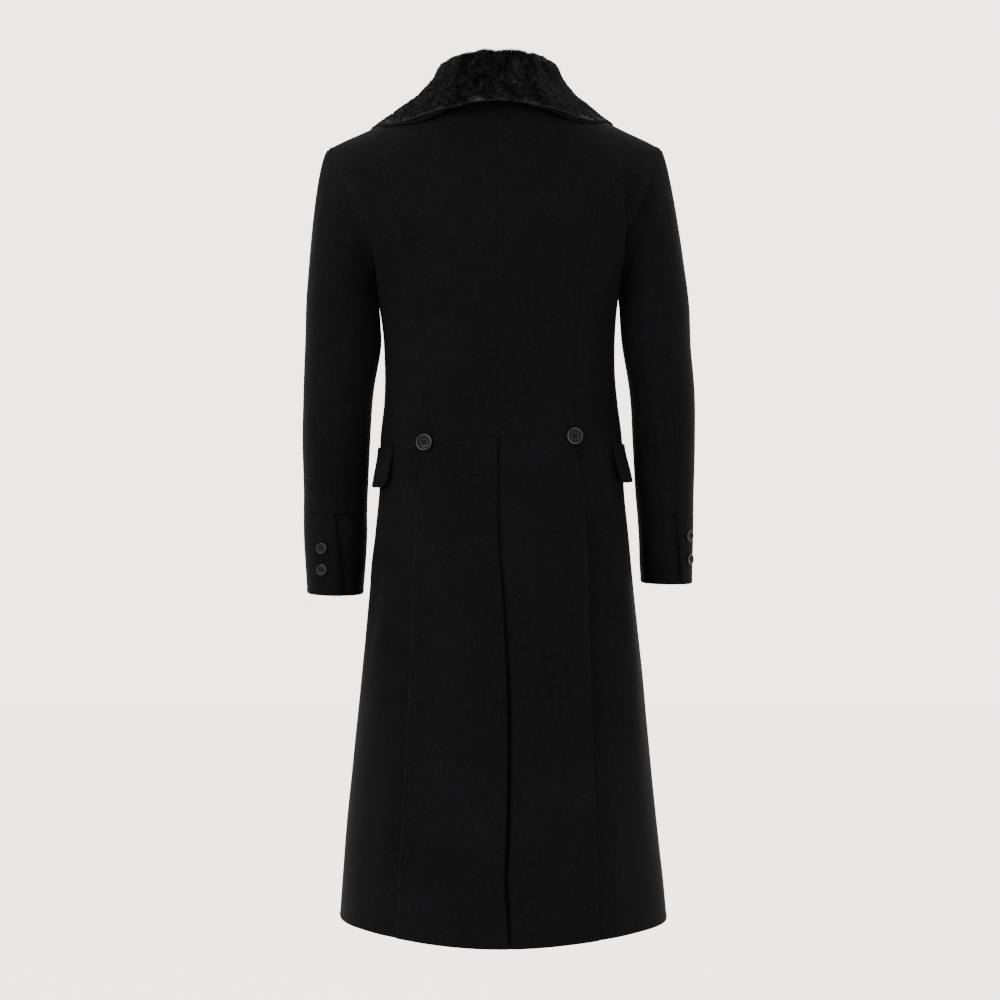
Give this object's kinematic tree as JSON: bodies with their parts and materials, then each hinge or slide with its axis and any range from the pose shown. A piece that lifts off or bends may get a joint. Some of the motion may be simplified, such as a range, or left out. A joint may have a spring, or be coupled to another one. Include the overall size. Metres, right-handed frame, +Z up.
{
  "type": "greatcoat",
  "caption": "Long black wool greatcoat with a fur shawl collar, button-fastened cuffs, waist seams and a centre back vent, filled out as if worn.",
  "frame": {"origin": "middle of the neck opening, level with the neck seam's sides, where the wearer's neck and shoulders hold the coat up", "axes": "+Z up along the coat, +Y the way the wearer faces, so the back faces -Y; +X towards the wearer's right"},
  "size_m": [0.5507, 0.3559, 1.2054],
  "materials": {
    "wool": "matt milled wool, short nap",
    "fur": "short dense dark pile in soft clumps",
    "button": "polished dark horn, four holes"
  },
  "bodies": {
    "root": {"back_left": "wool", "back_skirt_left": "wool", "side_left": "wool", "front_left": "wool", "sleeve_upper_left": "wool", "sleeve_under_left": "wool", "cuff_left": "wool", "pocket_flap_left": "wool", "back_right": "wool", "back_skirt_right": "wool", "side_right": "wool", "front_right": "wool", "sleeve_upper_right": "wool", "sleeve_under_right": "wool", "cuff_right": "wool", "pocket_flap_right": "wool", "under_collar": "wool", "collar_fur": "fur", "lapel_left": "fur", "lapel_right": "fur", "waist_button_left": "button", "waist_button_right": "button", "cuff_button_left_1": "button", "cuff_button_left_2": "button", "cuff_button_right_1": "button", "cuff_button_right_2": "button", "front_button_left_1": "button", "front_button_left_2": "button", "front_button_left_3": "button", "front_button_right_1": "button", "front_button_right_2": "button", "front_button_right_3": "button"}
  },
  "joints": []
}
